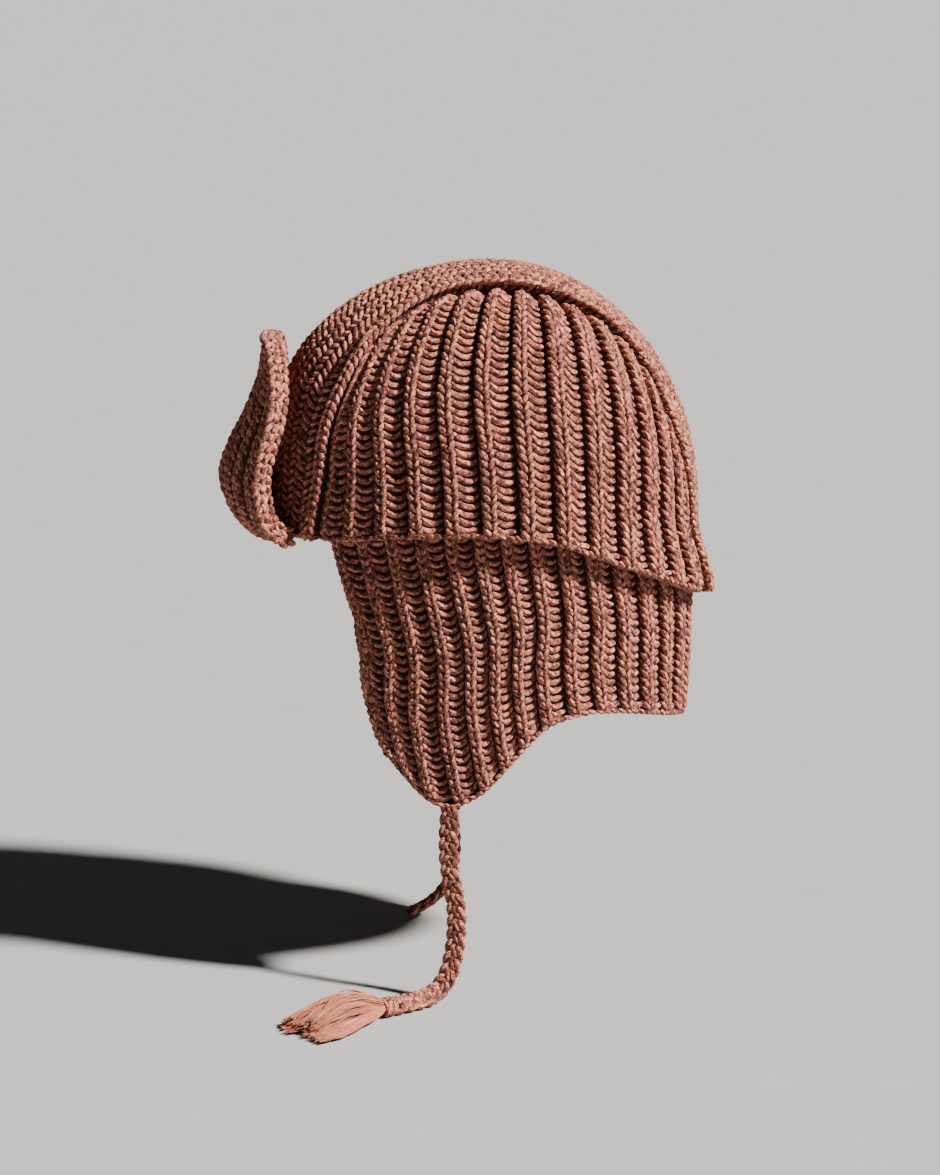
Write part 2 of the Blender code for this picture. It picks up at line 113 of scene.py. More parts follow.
def yarn_tubes(lines, outward, radius, sides=6, taper=0.45, numbered=False):
    """Points, faces and UVs of tubes along many lines, which are (count, steps, 3).

    The UV map runs on from a random start, or from ten times the tube's number.
    """
    lines = np.asarray(lines, float)
    count, steps = lines.shape[:2]
    along = unit(np.gradient(lines, axis=1))
    across = unit(np.cross(along, outward))
    up = np.cross(across, along)
    turn = np.arange(sides) / sides * 2 * math.pi
    belly = taper + (1 - taper) * np.sin(np.linspace(0, math.pi, steps)) ** 0.6
    thick = np.broadcast_to(np.asarray(radius, float).reshape(-1, 1), (count, 1)) * belly
    rings = (across[:, :, None] * np.cos(turn)[:, None] + up[:, :, None] * np.sin(turn)[:, None])
    points = lines[:, :, None] + rings * thick[:, :, None, None]
    index = np.arange(count * steps * sides).reshape(count, steps, sides)
    here, after = index[:, :-1], index[:, 1:]
    quads = np.stack([here, np.roll(here, -1, 2), np.roll(after, -1, 2), after], -1)
    run = np.concatenate([np.zeros((count, 1)),
                          np.cumsum(np.linalg.norm(np.diff(lines, axis=1), axis=2), axis=1)], 1)
    run = run + (10.0 * np.arange(count)[:, None] if numbered else rng.uniform(0, 1, (count, 1)))
    low, high = run[:, :-1, None], run[:, 1:, None]
    side = np.arange(sides) / sides
    shape = quads.shape[:-1]
    uv = np.stack([
        np.stack(np.broadcast_arrays(low, low, high, high), -1) * np.ones((*shape, 1)),
        np.stack(np.broadcast_arrays(side, side + 1 / sides, side + 1 / sides, side), -1)
        * np.ones((*shape, 1)),
    ], -1)
    return points.reshape(-1, 3), quads.reshape(-1, 4), uv.reshape(-1, 4, 2)


def sheet_faces(grid, outward=True):
    """Points, faces and UVs of a grid of points."""
    rows, columns = grid.shape[:2]
    index = np.arange(rows * columns).reshape(rows, columns)
    quads = np.stack([index[:-1, :-1], index[1:, :-1], index[1:, 1:], index[:-1, 1:]], -1)
    if not outward:
        quads = quads[..., ::-1]
    return grid.reshape(-1, 3), quads.reshape(-1, 4), np.zeros((quads.size // 4, 4, 2))


def make_piece(name, parts, materials):
    """One mesh object from parts: each is (points, faces, uvs) and a material's number."""
    points, faces, uvs, slots, start = [], [], [], [], 0
    for (part_points, part_faces, part_uvs), slot in parts:
        points.append(part_points)
        faces.append(part_faces + start)
        uvs.append(part_uvs)
        slots.append(np.full(len(part_faces), slot))
        start += len(part_points)
    points, faces, uvs = np.vstack(points), np.vstack(faces), np.vstack(uvs)
    mesh = bpy.data.meshes.new(name)
    mesh.vertices.add(len(points))
    mesh.vertices.foreach_set("co", points.astype(np.float32).ravel())
    mesh.loops.add(faces.size)
    mesh.loops.foreach_set("vertex_index", faces.astype(np.int32).ravel())
    mesh.polygons.add(len(faces))
    mesh.polygons.foreach_set("loop_start", np.arange(0, faces.size, 4, dtype=np.int32))
    mesh.polygons.foreach_set("material_index", np.concatenate(slots).astype(np.int32))
    yarn_map = mesh.uv_layers.new(name="yarn")
    yarn_map.data.foreach_set("uv", uvs.astype(np.float32).ravel())
    mesh.update(calc_edges=True)
    mesh.shade_smooth()
    for material in materials:
        mesh.materials.append(material)
    piece = bpy.data.objects.new(name, mesh)
    bpy.context.scene.collection.objects.link(piece)
    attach(piece, "root")
    print(name, "has", 2 * len(faces), "triangles")
    return piece


# %% [markdown]
# ## Shader maths in plain Python
#
# A node tree is hard to read as a list of links, so a small class wraps a socket and turns
# Python's own signs into Math nodes. Any other node comes from one method that takes its
# type, its settings and what goes into its sockets.


# %% Sockets with arithmetic
class Wire:
    """A node's output that can be used in arithmetic."""

    def __init__(self, shader, socket):
        self.shader = shader
        self.socket = socket

    def math(self, operation, *values, flip=False):
        inputs = [self, *values]
        if flip:
            inputs.reverse()
        return self.shader.node("ShaderNodeMath", {"operation": operation},
                                dict(enumerate(inputs)))

    def __add__(self, other):
        return self.math("ADD", other)

    def __sub__(self, other):
        return self.math("SUBTRACT", other)

    def __rsub__(self, other):
        return self.math("SUBTRACT", other, flip=True)

    def __mul__(self, other):
        return self.math("MULTIPLY", other)

    def __truediv__(self, other):
        return self.math("DIVIDE", other)

    __radd__ = __add__
    __rmul__ = __mul__


class Finish:
    """A material whose nodes are written as Python expressions."""

    def __init__(self, name, roughness=0.9, sheen=0.05):
        self.material = bpy.data.materials.new(name)
        self.material.use_nodes = True
        self.tree = self.material.node_tree
        self.shader = self.tree.nodes["Principled BSDF"]
        self.shader.inputs["Roughness"].default_value = roughness
        self.shader.inputs["Sheen Weight"].default_value = sheen
        self.shader.inputs["Sheen Roughness"].default_value = 0.6
        self.shader.inputs["Sheen Tint"].default_value = (1.0, 0.82, 0.75, 1)
        self.shader.inputs["Specular IOR Level"].default_value = 0.2

    def node(self, kind, settings=None, inputs=None, output=0):
        """Add a node: its settings first, then the values or wires of its sockets."""
        made = self.tree.nodes.new(kind)
        for key, value in (settings or {}).items():
            setattr(made, key, value)
        for key, value in (inputs or {}).items():
            if isinstance(value, Wire):
                self.tree.links.new(value.socket, made.inputs[key])
            else:
                made.inputs[key].default_value = value
        return Wire(self, made.outputs[output])

    def ramp(self, factor, stops):
        """A color ramp through (place, color) stops."""
        made = self.tree.nodes.new("ShaderNodeValToRGB")
        while len(made.color_ramp.elements) < len(stops):
            made.color_ramp.elements.new(0.5)
        for element, (place, color) in zip(made.color_ramp.elements, stops):
            element.position = place
            element.color = (*color, 1)
        self.tree.links.new(factor.socket, made.inputs["Fac"])
        return Wire(self, made.outputs["Color"])

    def mix(self, factor, first, second, blend="MIX"):
        """Mix two colors, each a wire or a color."""
        made = self.tree.nodes.new("ShaderNodeMix")
        made.data_type = "RGBA"
        made.blend_type = blend
        for key, value in ((0, factor), (6, first), (7, second)):
            if isinstance(value, Wire):
                self.tree.links.new(value.socket, made.inputs[key])
            else:
                made.inputs[key].default_value = value if key == 0 else (*value, 1)
        return Wire(self, made.outputs[2])

    def noise(self, where, scale, detail=2.0, roughness=0.5):
        """Noise at a scale given as repeats a metre."""
        return self.node("ShaderNodeTexNoise", {"noise_dimensions": "3D"},
                         {"Vector": where, "Scale": scale, "Detail": detail,
                          "Roughness": roughness})

    def place(self):
        """Where the surface is, in the object's own metres."""
        return self.node("ShaderNodeTexCoord", output=3)

    def feed(self, socket, wire):
        """Link a wire to one of the shader's sockets."""
        self.tree.links.new(wire.socket, self.shader.inputs[socket])

    def bump(self, height, distance, strength=1.0, under=None):
        """A bump of the given depth in metres, over another one if given."""
        inputs = {"Height": height, "Distance": distance, "Strength": strength}
        if under is not None:
            inputs["Normal"] = under
        return self.node("ShaderNodeBump", {}, inputs)


# %% [markdown]
# ## Marled wool
#
# The yarn is spun from plies of different colors: terracotta, a dusty pink, a mauve brown,
# and here and there a fleck of ochre or gray green. The plies wind round the yarn, so the
# color follows a screw line on the UV map: round the yarn plus a share of the way along it.
# The same screw line gives the grooves between the plies, which are also darkened in color as
# painted shade, and fine noise gives loose fibers.

# %% The wool
TERRACOTTA = (0.29, 0.085, 0.050)
DUSTY_PINK = (0.62, 0.240, 0.175)
MAUVE_BROWN = (0.080, 0.022, 0.024)
OCHRE = (0.34, 0.180, 0.075)
GRAY_GREEN = (0.11, 0.10, 0.070)
PALE_PINK = (0.66, 0.32, 0.22)
SPUN_ORANGE = (0.38, 0.135, 0.080)
PLIES = 3
TWISTS_A_METRE = 95.0


def wool(name, shade=1.0, twist=TWISTS_A_METRE, groove=0.00035):
    """The hat's yarn; shade scales its colors, and above one it makes a lighter copy, painted light.
    """
    finish = Finish(name)
    ways = finish.node("ShaderNodeUVMap", {"uv_map": "yarn"})
    split = finish.node("ShaderNodeSeparateXYZ", {}, {0: ways})
    along, around = split, Wire(finish, split.socket.node.outputs[1])
    where = finish.place()
    drift = finish.noise(where, 90, 2)
    screw = around * PLIES + along * twist * PLIES / 3 + drift * 0.5
    ply = screw.math("FRACT")
    which = screw.math("FLOOR")
    speck = finish.node("ShaderNodeTexWhiteNoise", {"noise_dimensions": "2D"},
                        {"Vector": finish.node("ShaderNodeCombineXYZ", {}, {
                            0: which, 1: (along * 420).math("FLOOR")})})
    marl = finish.noise(where, 400, 3, 0.7)
    tone = marl * 1.7 + speck * 0.6 - 0.65
    colors = [(0.22, MAUVE_BROWN), (0.36, TERRACOTTA), (0.50, DUSTY_PINK), (0.60, TERRACOTTA),
              (0.67, MAUVE_BROWN), (0.75, TERRACOTTA), (0.86, DUSTY_PINK)]
    color = finish.ramp(tone, [(at, tuple(c * shade for c in mixed)) for at, mixed in colors])
    fleck = finish.noise(where, 800, 1)
    ochre_here = (fleck - 0.64).math("MULTIPLY", 14.0).math("MINIMUM", 0.8).math("MAXIMUM", 0.0)
    color = finish.mix(ochre_here, color, OCHRE)
    green_here = (0.34 - fleck).math("MULTIPLY", 14.0).math("MINIMUM", 0.7).math("MAXIMUM", 0.0)
    color = finish.mix(green_here, color, GRAY_GREEN)
    crown = (ply * math.pi).math("SINE")
    # Painted shade: the grooves between the plies are darkened towards mauve brown.
    color = finish.mix((1 - crown).math("POWER", 3.0) * 0.75, color, MAUVE_BROWN, "MULTIPLY")
    finish.feed("Base Color", color)
    fibers = finish.noise(where, 3200, 2, 0.7)
    fine = finish.bump(fibers, 0.00018, 0.6)
    finish.feed("Normal", finish.bump(crown, groove, 0.9, fine))
    finish.feed("Roughness", 0.78 + marl * 0.2)
    return finish.material


def combed_wool(name):
    """Loose strands: each has its own color from end to end, and a faint silky shine."""
    finish = Finish(name, 0.75, 0.08)
    ways = finish.node("ShaderNodeUVMap", {"uv_map": "yarn"})
    number = (finish.node("ShaderNodeSeparateXYZ", {}, {0: ways}) / 10.0).math("FLOOR")
    own = finish.node("ShaderNodeTexWhiteNoise", {"noise_dimensions": "1D"}, {"W": number})
    drift = finish.noise(finish.place(), 160, 2)
    finish.feed("Base Color", finish.ramp(own * 0.8 + drift * 0.3 - 0.05, [
        (0.02, MAUVE_BROWN), (0.15, TERRACOTTA), (0.40, SPUN_ORANGE), (0.62, TERRACOTTA),
        (0.80, SPUN_ORANGE), (0.95, PALE_PINK)]))
    return finish.material


def painted_shade_wool(name):
    """The cloth behind the stitches, seen only down in the valleys; its near-black color is painted
    shade.
    """
    finish = Finish(name, sheen=0.05)
    where = finish.place()
    strands = finish.noise(where, 500, 3, 0.7)
    finish.feed("Base Color", finish.ramp(strands, [
        (0.30, tuple(c * 0.4 for c in MAUVE_BROWN)), (0.65, tuple(c * 0.3 for c in TERRACOTTA))]))
    finish.feed("Normal", finish.bump(strands, 0.0012, 0.9))
    return finish.material


yarn_wool = wool("marled_wool")
# A lighter copy of the same wool: painted light on the peak and the crown's seams.
painted_lit_wool = wool("marled_wool_painted_lit", 1.06)
tassel_wool = combed_wool("tassel_strands")
# The backing's near-black color is painted shade, for the valleys, the inner faces and the cut edges.
painted_shade_backing = painted_shade_wool("wool_painted_as_shade")
print("wool finishes made")

# %% [markdown]
# ## The plaited ties
#
# Each tie is a three-strand plait, and each of its strands is two yarns. A strand of a plait
# swings from side to side while it rises and dips twice as often, a third of a turn behind
# its neighbor, which makes the plait flat. The tie hangs straight from the flap's tip under
# its own weight, then bends and lies on the surface below. Its route is the one that its
# solid follows.

# %% Routes of the ties
TIE_LIE_LEVEL = -0.3565
LEFT_TIE_ROUTE = [
    (0.0690, -0.0265, -0.277),
    (0.0700, -0.0263, -0.290),
    (0.0720, -0.0245, -0.302),
    (0.0730, -0.0228, -0.314),
    (0.0740, -0.0228, -0.326),
    (0.0750, -0.0240, -0.336),
    (0.0765, -0.0265, -0.346),
    (0.0790, -0.0310, -0.3535),
    (0.0850, -0.0375, TIE_LIE_LEVEL),
    (0.0925, -0.0460, TIE_LIE_LEVEL),
    (0.0985, -0.0550, TIE_LIE_LEVEL),
]
RIGHT_TIE_ROUTE = [
    (-0.0720, -0.0245, -0.273),
    (-0.0785, -0.0210, -0.287),
    (-0.0825, -0.0180, -0.301),
    (-0.0835, -0.0160, -0.315),
    (-0.0820, -0.0160, -0.328),
    (-0.0790, -0.0190, -0.3395),
    (-0.0755, -0.0250, -0.348),
    (-0.0725, -0.0330, -0.3535),
    (-0.0700, -0.0410, TIE_LIE_LEVEL),
]
PLAIT_PITCH = 0.0198  # one strand's whole swing
PLAIT_SWING = 0.0027
PLAIT_RISE = 0.0015
PLAIT_YARN = 0.00145


def smooth_path(points, count):
    """Points at even distances along a smooth curve through the given ones."""
    points = np.asarray(points, float)
    padded = np.vstack([2 * points[0] - points[1], points, 2 * points[-1] - points[-2]])
    fine = []
    for before, start, end, after in zip(padded, padded[1:], padded[2:], padded[3:]):
        for t in np.linspace(0, 1, 12, endpoint=False):
            fine.append(0.5 * (2 * start + (end - before) * t
                               + (2 * before - 5 * start + 4 * end - after) * t ** 2
                               + (3 * start - before - 3 * end + after) * t ** 3))
    fine = np.vstack([fine, points[-1]])
    run = np.concatenate([[0], np.cumsum(np.linalg.norm(np.diff(fine, axis=0), axis=1))])
    wanted = np.linspace(0, run[-1], count)
    return np.stack([np.interp(wanted, run, fine[:, axis]) for axis in range(3)], -1), run[-1]


def path_frame(path, first_side):
    """Side and up directions that turn with a path as little as they can."""
    along = unit(np.gradient(path, axis=0))
    side = np.zeros_like(path)
    side[0] = unit(first_side - along[0] * (first_side @ along[0]))
    for step in range(1, len(path)):
        side[step] = side[step - 1] - along[step] * (side[step - 1] @ along[step])
        side[step] /= np.linalg.norm(side[step])
    return along, side, np.cross(along, side)


def tie_start(node):
    """The middle of the tie's top end, from its solid."""
    low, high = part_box(node)
    inner = 0.0683 if low[0] > 0 else -0.0683
    return np.array([inner, -0.0255, high[2]])


def plait(name, node, route, wide_way):
    """A plaited tie along a route, flat in a given direction, which replaces its solid."""
    path, length = smooth_path([tie_start(node), *route], 240)
    along, side, up = path_frame(path, np.array(wide_way))
    run = np.linspace(0, length, len(path))
    lines = []
    for strand in range(3):
        phase = 2 * math.pi * (run / PLAIT_PITCH + strand / 3)
        middle = (path + side * (PLAIT_SWING * np.sin(phase))[:, None]
                  + up * (PLAIT_RISE * np.sin(2 * phase))[:, None])
        lean = unit(side * np.cos(phase)[:, None] + along * 1.1)
        apart = unit(np.cross(lean, up))
        for half in (-1, 1):
            lines.append(middle + apart * PLAIT_YARN * 0.85 * half)
    outward = np.broadcast_to(up, (len(lines), *up.shape))
    tubes = yarn_tubes(np.array(lines), outward, PLAIT_YARN, sides=8, taper=1.0)
    piece = make_piece(name, [(tubes, 0)], [yarn_wool])
    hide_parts(node)
    return piece, path, length


left_plait, left_path, left_length = plait("plait_left", "tie_left", LEFT_TIE_ROUTE,
                                           (0.35, 1.0, 0.0))
right_plait, right_path, right_length = plait("plait_right", "tie_right", RIGHT_TIE_ROUTE,
                                              (1.0, 0.1, 0.0))
print("ties:", round(left_length, 4), "and", round(right_length, 4), "metres")

# %% [markdown]
# ## The tassel
#
# The tassel is the left tie's own yarn, cut and combed open: a thousand thin, nearly straight
# strands that leave the knot together and fan out over the surface that they lie on. They
# keep together in locks: each lock is aimed at its own place in the fan's end, and its strands
# stray from it and wave a little. A few turns of yarn
# make the knot's neck. The right tie ends plainly.

# %% Tassel
TASSEL_LENGTH = 0.056
TASSEL_SPREAD = 0.036
TASSEL_THICKNESS = 0.020
TASSEL_STRANDS = 1200
TASSEL_LOCKS = 26
SLANTED_CUT = 0.22  # share of the length that the top strands end sooner


def tassel(name, node, path):
    """A combed tassel at the end of a path, which replaces the tassel's solid."""
    end = path[-1]
    heading = unit(path[-1] - path[-2])
    heading[2] = 0
    heading = unit(heading)
    up = np.array([0.0, 0.0, 1.0])
    side = np.cross(up, heading)
    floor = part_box(node)[0][2]
    share = np.linspace(0, 1, 12)
    lock = rng.integers(0, TASSEL_LOCKS, TASSEL_STRANDS)
    angle = rng.uniform(-1, 1, TASSEL_LOCKS)[lock] + rng.normal(0, 0.08, TASSEL_STRANDS)
    angle = np.clip(angle, -1, 1)
    height = rng.uniform(0, 0.75, TASSEL_LOCKS)[lock] + rng.normal(0, 0.07, TASSEL_STRANDS)
    height = np.clip(height, 0, 1) * (1 - 0.75 * angle ** 2)
    reach = TASSEL_LENGTH * (rng.uniform(0.95, 1.05, TASSEL_STRANDS) - 0.08 * angle ** 2
                             - SLANTED_CUT * height
                             - rng.uniform(0, 0.10, TASSEL_LOCKS)[lock])
    open_out = 1 - (1 - share) ** 1.7
    lines = (end + heading * 0.006
             + heading * (reach[:, None] * share)[..., None]
             + side * (angle[:, None] * TASSEL_SPREAD / 2 * open_out)[..., None])
    sag = height[:, None] * TASSEL_THICKNESS * np.sin(share * 2.6) * 0.95
    lines[..., 2] = floor + 0.0006 + sag + (end[2] - floor) * (1 - share) ** 2.2
    wave = rng.uniform(0, 2 * math.pi, (TASSEL_STRANDS, 2, 1))
    crimp = 0.0013 * share * np.sin(share * 6 + wave[:, 0])
    lines += side * crimp[..., None]
    lines[..., 2] += np.abs(0.0012 * share * np.sin(share * 5 + wave[:, 1]))
    jitter = unit(rng.normal(size=(TASSEL_STRANDS, 3))) * 0.0022
    lines += jitter[:, None] * ((1 - share) ** 2)[None, :, None]
    outward = np.broadcast_to(up, lines.shape)
    parts = [(yarn_tubes(lines, outward, rng.uniform(0.0003, 0.00048, TASSEL_STRANDS), 4, 0.3,
                        numbered=True), 0)]
    turns = np.linspace(0, 4.4 * 2 * math.pi, 90)
    wrap = (end + heading * (0.0015 + 0.0062 * turns / turns[-1])[:, None]
            + side * (0.0042 * np.cos(turns))[:, None] + up * (0.0040 * np.sin(turns))[:, None])
    around = unit(wrap - end - heading * ((wrap - end) @ heading)[:, None])
    parts.append((yarn_tubes(wrap[None], around[None], 0.0011, 8, 0.8), 1))
    piece = make_piece(name, parts, [tassel_wool, yarn_wool])
    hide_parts(node)
    return piece


left_tassel = tassel("combed_tassel", "tassel_left", left_path)

# %% [markdown]
# ## The hat's form
#
# The stitches need a smooth form to lie on. It is the same form that the solids follow: plan
# ellipses that close in over the top, a rim that dips and flares at the back, and a seam line
# that parts the centre panel from the side panels. Each surface ends up as a fine grid of
# points, with ribs running down its columns, and a small class reads a place on it from three
# numbers: a share across, a share down and a lift off the face.

# %% Sizes and lines of the form
CROWN_FRONT_LENGTH = 0.1155
CROWN_BACK_LENGTH = 0.1065
CROWN_HALF_BREADTH = 0.088
CROWN_DEPTH = 0.120
BACK_DIP = 0.0425
RIM_FLARE = 0.008
FLARE_HEIGHT = 0.040
CROWN_WALL = 0.009
PANEL_HALF_WIDTH = 0.040
CORE_LEVEL = -2 / 3 * CROWN_DEPTH
BAND_WALL = 0.008
BAND_LAP = 0.008
BAND_CLEARANCE = 0.0011
FLAP_DROP = 0.141
FLAP_DRAW_IN = 0.008
SEAM_CORNERS = (0.26, 0.90)
WIDEST = (0.71, 0.79, 0.96)  # front, side and back
ROUNDNESS = (2.08, 2.20, 2.00)
FLARE = (0.25, 0.45, 1.00)
RIM_LINE = np.array([(0, 0.19), (37, 0.12), (57, 0.03), (89, 0.00), (108, 0.10), (121, 0.29),
                     (141, 0.59), (163, 0.91), (180, 1.00)])
SEAM_LINE = np.array([(0.00, 1.34), (0.13, 1.41), (0.20, 1.38), (0.26, 1.26), (0.34, 1.06),
                      (0.41, 0.92), (0.50, 0.90), (0.57, 0.86), (0.64, 0.80), (0.71, 0.84),
                      (0.79, 0.92), (0.88, 0.87), (0.95, 0.74), (1.00, 0.66)])
FLAP_FRONT = np.array([(28.0, -0.02), (34.5, 0.216), (39.5, 0.387), (39.5, 0.564),
                       (43.5, 0.745), (47.0, 0.816)])
LOWER_EDGE = np.array([(47.0, 0.816), (53.0, 0.890), (61.0, 0.972), (69.5, 1.000),
                       (78.0, 0.972), (85.8, 0.918), (96.0, 0.812), (103.0, 0.740),
                       (110.0, 0.690), (124.0, 0.660), (140.0, 0.677), (160.0, 0.723),
                       (180.0, 0.764)])


# %% Reading the form
def smooth_read(table, at, column=1):
    """Read a column of a table with a smooth curve through its rows."""
    x, y = table[:, 0], table[:, column]
    slope = np.gradient(y, x)
    at = np.clip(at, x[0], x[-1])
    row = np.clip(np.searchsorted(x, at) - 1, 0, len(x) - 2)
    step = x[row + 1] - x[row]
    t = (at - x[row]) / step
    rise = y[row] * (1 + 2 * t) * (1 - t) ** 2 + y[row + 1] * (3 - 2 * t) * t ** 2
    return rise + step * (slope[row] * t * (1 - t) ** 2 - slope[row + 1] * t ** 2 * (1 - t))


def by_direction(angle, values):
    """A value blended from the front, side and back ones by the angle from the front."""
    forward = np.clip(np.cos(angle), 0, 1) ** 2
    backward = np.clip(-np.cos(angle), 0, 1) ** 2
    return forward * values[0] + np.sin(angle) ** 2 * values[1] + backward * values[2]


def rim_level(angle):
    """Height of the crown's rim."""
    return -(CROWN_DEPTH + BACK_DIP * smooth_read(RIM_LINE, np.degrees(angle)))


def wall_radius(angle, level):
    """Radius of the crown's face low down."""
    length = np.where(np.cos(angle) > 0, CROWN_FRONT_LENGTH, CROWN_BACK_LENGTH)
    plan = 1 / np.hypot(np.cos(angle) / length, np.sin(angle) / CROWN_HALF_BREADTH)
    low = np.clip(1 - (level - rim_level(angle)) / FLARE_HEIGHT, 0, 1)
    return plan + RIM_FLARE * by_direction(angle, FLARE) * low ** 2 * (3 - 2 * low)


def crown_field(points):
    """Zero on the crown's face, below zero inside it."""
    x, y, z = np.moveaxis(points, -1, 0)
    angle = np.arctan2(np.abs(x), -y)
    widest = -CROWN_DEPTH * by_direction(angle, WIDEST)
    roundness = by_direction(angle, ROUNDNESS)
    rise = np.clip((z - widest) / (CROWN_WALL - widest), 0, None)
    return (np.hypot(x, y) / wall_radius(angle, z)) ** roundness + rise ** roundness - 1


def reach_crown(starts, directions):
    """Where lines from inside the crown meet its face, by halving."""
    near = np.zeros(directions.shape[:-1])
    far = near + 2 * CROWN_FRONT_LENGTH + CROWN_DEPTH
    for _ in range(26):
        middle = (near + far) / 2
        outside = crown_field(starts + directions * middle[..., None]) > 0
        far = np.where(outside, middle, far)
        near = np.where(outside, near, middle)
    return starts + directions * near[..., None]


def rim_points(angle):
    """Points of the crown's face at its rim."""
    level = rim_level(angle)
    radius = wall_radius(angle, level)
    return np.stack([radius * np.sin(angle), -radius * np.cos(angle), level], -1)


def rim_turn(offset, back):
    """Angle over the crown, seen from the side, of the rim at a sideways offset."""
    points = rim_points(np.radians(np.linspace(90, 180 if back else 0, 181)))
    points = points[np.argsort(points[:, 0])]
    turns = np.arctan2(points[:, 2] - CORE_LEVEL, -points[:, 1])
    turns = np.where(turns < -math.pi / 2, turns + 2 * math.pi, turns)
    return np.interp(np.abs(offset), points[:, 0], turns)


def panel_points(across, along):
    """The crown's face laid out as the centre panel: across it, and front to back."""
    offset = across * PANEL_HALF_WIDTH * smooth_read(SEAM_LINE, along)
    turn = rim_turn(offset, False) * (1 - along) + rim_turn(offset, True) * along
    zero = np.zeros_like(offset)
    starts = np.stack([offset, zero, zero + CORE_LEVEL], -1)
    return reach_crown(starts, np.stack([zero, -np.cos(turn), np.sin(turn)], -1))


def even_spread(points, count):
    """Shares along a line of points that put count of them at even distances."""
    run = np.concatenate([[0], np.cumsum(np.linalg.norm(np.diff(points, axis=0), axis=1))])
    return np.interp(np.linspace(0, run[-1], count), run, np.linspace(0, 1, len(points)))


def filled(top, bottom, front, back):
    """Fill a four-sided patch from its edges: rows run from top to bottom."""
    columns = np.linspace(0, 1, len(top))[None, :, None]
    rows = np.linspace(0, 1, len(front))[:, None, None]
    corners = ((1 - rows) * ((1 - columns) * top[0] + columns * top[-1])
               + rows * ((1 - columns) * bottom[0] + columns * bottom[-1]))
    return ((1 - rows) * top[None] + rows * bottom[None]
            + (1 - columns) * front[:, None] + columns * back[:, None] - corners)


def mirrored(grid):
    """The same grid on the other side of the hat."""
    return (grid * np.array([-1, 1, 1]))[:, ::-1]


# %% A knitted surface
class Cloth:
    """A fine grid of points that is read by shares across and down, and a lift off it."""

    def __init__(self, grid):
        self.grid = grid
        down, along = np.gradient(grid, axis=0), np.gradient(grid, axis=1)
        self.normals = unit(np.cross(down, along))

    def read(self, values, across, down):
        rows, columns = values.shape[0] - 1, values.shape[1] - 1
        x = np.clip(across, 0, 1) * columns
        y = np.clip(down, 0, 1) * rows
        left = np.minimum(x.astype(int), columns - 1)
        top = np.minimum(y.astype(int), rows - 1)
        fx, fy = (x - left)[..., None], (y - top)[..., None]
        return ((values[top, left] * (1 - fx) + values[top, left + 1] * fx) * (1 - fy)
                + (values[top + 1, left] * (1 - fx) + values[top + 1, left + 1] * fx) * fy)

    def at(self, across, down, lift=0.0):
        """Points, and the directions out of the cloth there."""
        across, down = np.broadcast_arrays(across, down)
        out = unit(self.read(self.normals, across, down))
        return self.read(self.grid, across, down) + out * np.asarray(lift)[..., None], out

    def run_down(self, across):
        """Shares down the cloth and the lengths to them, at one place across it."""
        shares = np.linspace(0, 1, 160)
        points, _ = self.at(np.full(160, across), shares)
        run = np.cumsum(np.linalg.norm(np.diff(points, axis=0), axis=1))
        return shares, np.concatenate([[0], run])


# %% [markdown]
# ## Rib stitches
#
# A rib is a column of stitches, each made of three strands. The left leg leans in towards the
# crest. The right leg is steep and makes the bright line along it. The third strand comes out
# beside that line, slopes down as a bar of a ladder, and hooks up before a narrow slit, where
# the next rib starts. Each strand is a short table: its place across the rib, its place along
# the row, and its height as a share of the rib's depth. The stitch is repeated down the rib
# at the true row height, with a little unevenness, since no two hand-made stitches are alike.

# %% The stitch and its repeats
ROW_HEIGHT = 0.0043
YARN = 0.00142
LINE_YARN = 0.00132
BAR_YARN = 0.00160

LEFT_LEG = np.array([
    (0.02, -0.30, -0.55),
    (0.05, 0.00, -0.22),
    (0.09, 0.32, -0.06),
    (0.14, 0.64, -0.02),
    (0.19, 0.94, -0.06),
    (0.23, 1.22, -0.30),
])
RIGHT_LEG = np.array([
    (0.37, -0.28, -0.50),
    (0.36, 0.02, -0.16),
    (0.33, 0.34, 0.00),
    (0.30, 0.66, 0.04),
    (0.27, 0.96, -0.02),
    (0.25, 1.22, -0.28),
])
LADDER_BAR = np.array([
    (0.35, -0.30, -0.30),
    (0.39, 0.02, -0.10),
    (0.46, 0.32, -0.13),
    (0.55, 0.52, -0.27),
    (0.65, 0.60, -0.41),
    (0.76, 0.55, -0.51),
    (0.85, 0.36, -0.57),
    (0.90, 0.08, -0.74),
])
PLAIN_LEFT_LEG = np.array([
    (0.04, -0.18, -1.00),
    (0.10, 0.10, -0.55),
    (0.20, 0.38, -0.15),
    (0.31, 0.66, 0.00),
    (0.41, 0.92, -0.10),
    (0.48, 1.16, -0.60),
])
PLAIN_RIGHT_LEG = PLAIN_LEFT_LEG * (-1, 1, 1) + (1.0, 0, 0)


def knit(cloth, which, ribs, depth, strand, yarn, inside=False, wall=0.0, sides=6):
    """Repeat one strand of a stitch down some of a cloth's ribs, and return its tubes."""
    lines, outs = [], []
    for rib in which:
        shares, run = cloth.run_down((rib + 0.4) / ribs)
        rows = max(2, round(run[-1] / ROW_HEIGHT))
        number = np.arange(rows)[:, None]
        wobble = rng.normal(0, 1, (3, rows, 1))
        place = (number + strand[:, 1] + 0.035 * wobble[0]) / rows * run[-1]
        down = np.interp(place, run, shares)
        across = (rib + strand[:, 0] + 0.010 * wobble[1]) / ribs
        lift = strand[:, 2] * depth - yarn + 0.00012 * wobble[2]
        if inside:
            lift = -wall - lift
        points, out = cloth.at(np.broadcast_to(across, down.shape), down, lift)
        lines.append(points)
        outs.append(out)
    lines, outs = np.concatenate(lines), np.concatenate(outs)
    thick = yarn * (1 + 0.05 * rng.normal(size=len(lines)))
    return yarn_tubes(lines, outs, thick, sides)


